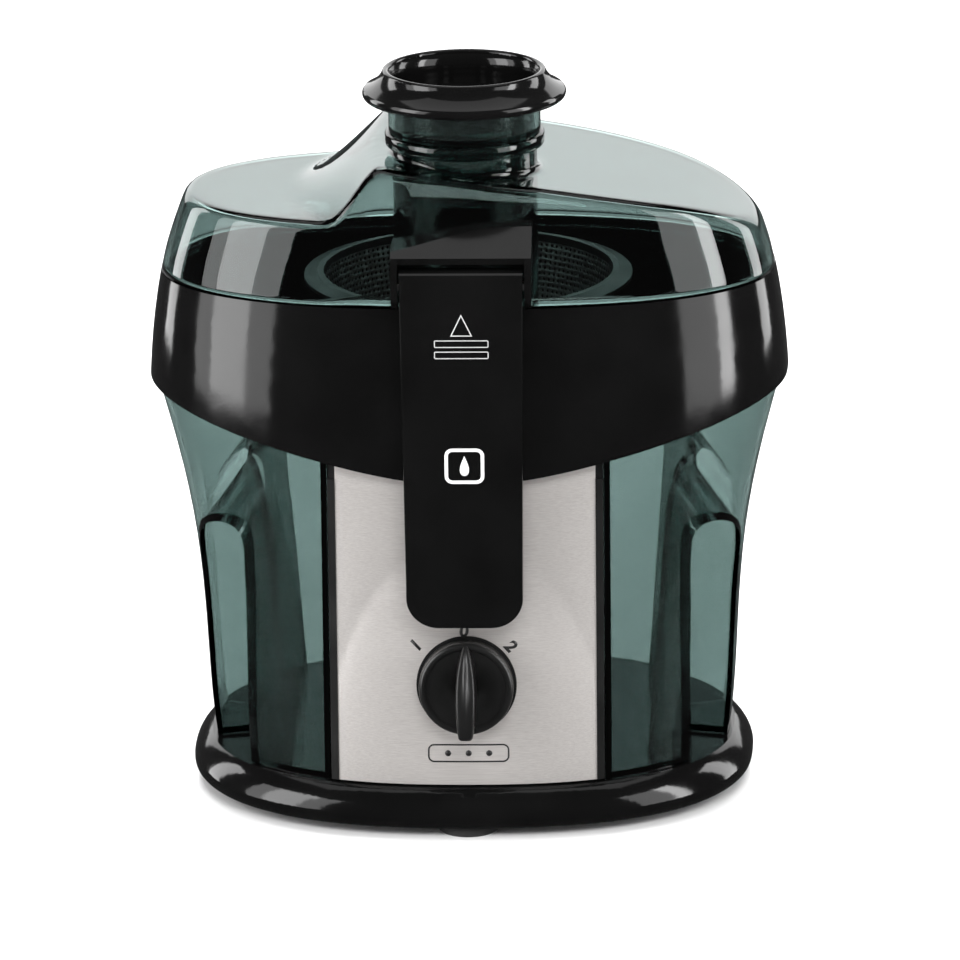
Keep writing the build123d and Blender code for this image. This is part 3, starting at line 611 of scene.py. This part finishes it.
# name, place, aim, width, height, watts, whether glossy surfaces show it
LIGHTS = [
    ("softbox_left", (-1.5, -0.75, 0.6), LIGHT_TARGET, 1.4, 1.5, 20, True),
    ("core_left", (-1.4, -0.72, 0.6), LIGHT_TARGET, 0.6, 1.4, 12, True),
    ("softbox_right", (1.5, -0.75, 0.6), LIGHT_TARGET, 0.9, 1.5, 12, True),
    ("core_right", (1.5, -0.42, 0.6), LIGHT_TARGET, 0.3, 1.4, 12, True),
    ("rim_left", (-1.7, 0.9, 0.6), LIGHT_TARGET, 0.5, 1.5, 12, True),
    ("rim_right", (1.7, 0.9, 0.6), LIGHT_TARGET, 0.5, 1.5, 12, True),
    ("top_glow", (0, 0.3, 2.1), LIGHT_TARGET, 2.2, 1.4, 8, True),
    ("back_panel", (0, 2.3, 1.0), (0, 0, 0.4), 3.4, 1.5, 26, True),
    ("overhead", (0, 0.25, 2.0), LIGHT_TARGET, 2.2, 1.4, 42, False),
    ("back_wash", (0, 2.2, 1.6), (0, 0.4, 0), 3.0, 1.2, 50, False),
    ("front_fill", (0.3, -2.4, 2.1), LIGHT_TARGET, 1.6, 1.0, 70, False),
]
WORLD_STRENGTH = 0.05
FLOOR_HALF = 14.0            # metres from the middle of the floor to its edge
CAMERA_LENS = 264.0          # millimetres
CAMERA_DISTANCE, CAMERA_HEIGHT = 3.0, 1.057
CAMERA_AZIMUTH, CAMERA_ROLL = math.radians(2.0), math.radians(-0.7)
CAMERA_AIM = (0.004, 0.0, 0.134)


def area_light(name, place, aim, width, height, watts, glossy):
    data = bpy.data.lights.new(name, "AREA")
    data.shape = "RECTANGLE"
    data.size, data.size_y = width, height
    data.energy = watts
    light = bpy.data.objects.new(name, data)
    light.location = place
    light.rotation_euler = (Vector(aim) - Vector(place)).to_track_quat("-Z", "Y").to_euler()
    light.visible_glossy = glossy
    bpy.context.scene.collection.objects.link(light)


def studio():
    """Faint world light, the softboxes and how light is traced."""
    scene = bpy.context.scene
    world = bpy.data.worlds.new("studio")
    scene.world = world
    world.use_nodes = True
    background = world.node_tree.nodes["Background"]
    background.inputs["Color"].default_value = (1, 1, 1, 1)
    background.inputs["Strength"].default_value = WORLD_STRENGTH
    scene.view_settings.view_transform = "Standard"
    scene.cycles.use_denoising = True
    scene.cycles.max_bounces = 24
    scene.cycles.transmission_bounces = 20
    scene.cycles.glossy_bounces = 8
    scene.cycles.transparent_max_bounces = 16
    scene.cycles.sample_clamp_indirect = 6.0
    for light in LIGHTS:
        area_light(*light)


def floor():
    mesh = bpy.data.meshes.new("floor")
    shape = bmesh.new()
    bmesh.ops.create_grid(shape, x_segments=8, y_segments=8, size=FLOOR_HALF)
    shape.to_mesh(mesh)
    shape.free()
    ground = bpy.data.objects.new("floor", mesh)
    bpy.context.scene.collection.objects.link(ground)
    p = Paint("studio_floor")
    p.to("Base Color", p.ramp(p.noise(2.0, 2.0), 0.93, 0.95))
    p.to("Roughness", p.ramp(p.noise(30.0, 3.0), 0.1, 0.16))
    mesh.materials.append(p.material)
    ground.visible_glossy = False


def camera():
    data = bpy.data.cameras.new("camera")
    data.sensor_width = 36.0
    data.lens = CAMERA_LENS
    data.clip_start, data.clip_end = 0.1, 60.0
    view = bpy.data.objects.new("camera", data)
    view.location = (CAMERA_DISTANCE * math.sin(CAMERA_AZIMUTH),
                     -CAMERA_DISTANCE * math.cos(CAMERA_AZIMUTH), CAMERA_HEIGHT)
    turn = (Vector(CAMERA_AIM) - view.location).to_track_quat("-Z", "Y").to_matrix().to_4x4()
    view.rotation_euler = (turn @ Matrix.Rotation(CAMERA_ROLL, 4, "Z")).to_euler()
    bpy.context.scene.collection.objects.link(view)
    bpy.context.scene.camera = view


lid_dome()
feed_tube()
lid_lip()
latch_marks()
panel_marks()
knob()
sieve_wall()
studio()
floor()
camera()
